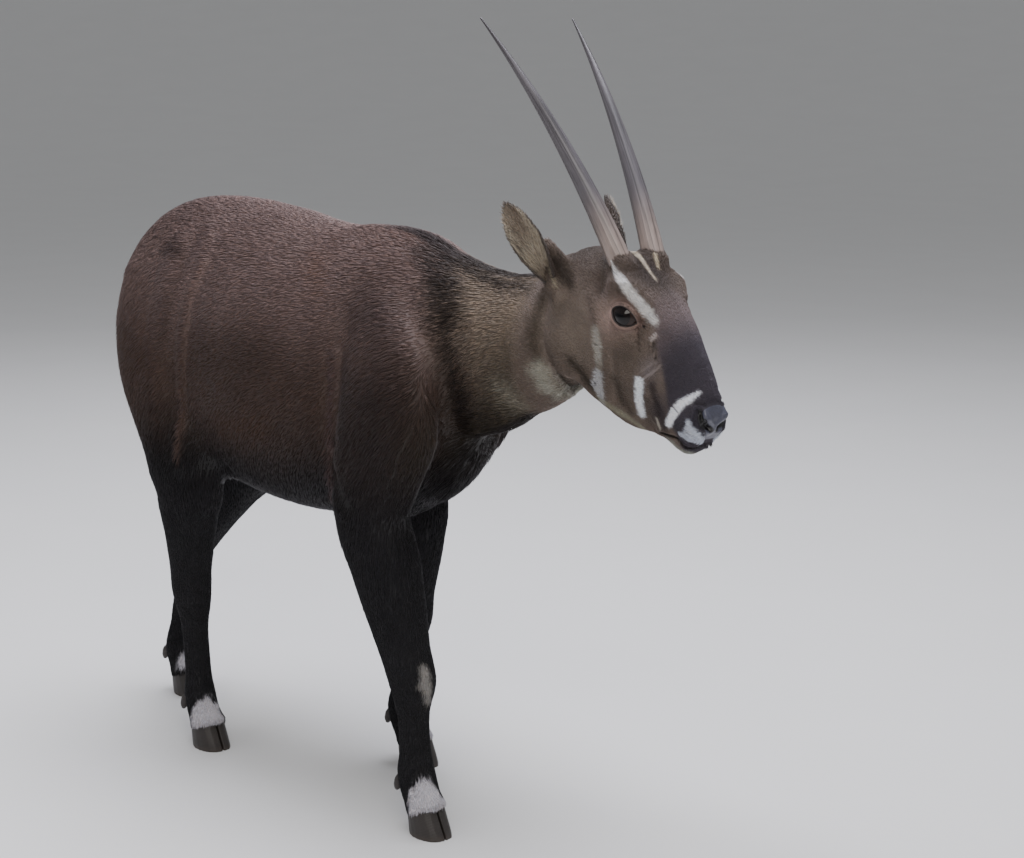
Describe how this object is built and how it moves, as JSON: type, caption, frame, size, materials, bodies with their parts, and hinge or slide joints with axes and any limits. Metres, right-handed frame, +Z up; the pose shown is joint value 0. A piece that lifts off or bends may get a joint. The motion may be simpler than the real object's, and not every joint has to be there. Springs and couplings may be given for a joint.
{
  "type": "saola",
  "caption": "Life-size still saola on four hoofed legs in a slow walk, head lowered and turned out, with long back-swept horns.",
  "frame": {"origin": "on the floor under the middle of the animal's bounding box", "axes": "+X from rump to nose, +Y to the animal's left, +Z up"},
  "size_m": [1.3082, 0.3332, 1.1424],
  "materials": {
    "coat_body": "short dark brown hair with a dull sheen",
    "coat_neck": "short grey-brown hair",
    "coat_face": "very short brown hair with white marks",
    "coat_leg": "short black hair, white over the hooves",
    "hair_tail": "brown, cream and black hair",
    "ear_skin": "pale hairy inside, brown outside",
    "nose_skin": "moist, finely pebbled",
    "horn": "smooth satin horn with faint long grooves",
    "hoof": "dull horn with growth rings",
    "eye": "wet, dark brown"
  },
  "bodies": {
    "root": {"head": "coat_face", "neck": "coat_neck", "torso": "coat_body", "tail": "hair_tail", "leg_fore_right": "coat_leg", "leg_fore_left": "coat_leg", "leg_hind_right": "coat_leg", "leg_hind_left": "coat_leg", "eye_right": "eye", "eye_left": "eye", "ear_right": "ear_skin", "ear_left": "ear_skin", "horn_right": "horn", "horn_left": "horn", "claw_fore_right_right": "hoof", "claw_fore_right_left": "hoof", "claw_fore_left_right": "hoof", "claw_fore_left_left": "hoof", "claw_hind_right_right": "hoof", "claw_hind_right_left": "hoof", "claw_hind_left_right": "hoof", "claw_hind_left_left": "hoof", "dewclaw_fore_right_right": "hoof", "dewclaw_fore_right_left": "hoof", "dewclaw_fore_left_right": "hoof", "dewclaw_fore_left_left": "hoof", "dewclaw_hind_right_right": "hoof", "dewclaw_hind_right_left": "hoof", "dewclaw_hind_left_right": "hoof", "dewclaw_hind_left_left": "hoof"}
  },
  "joints": []
}
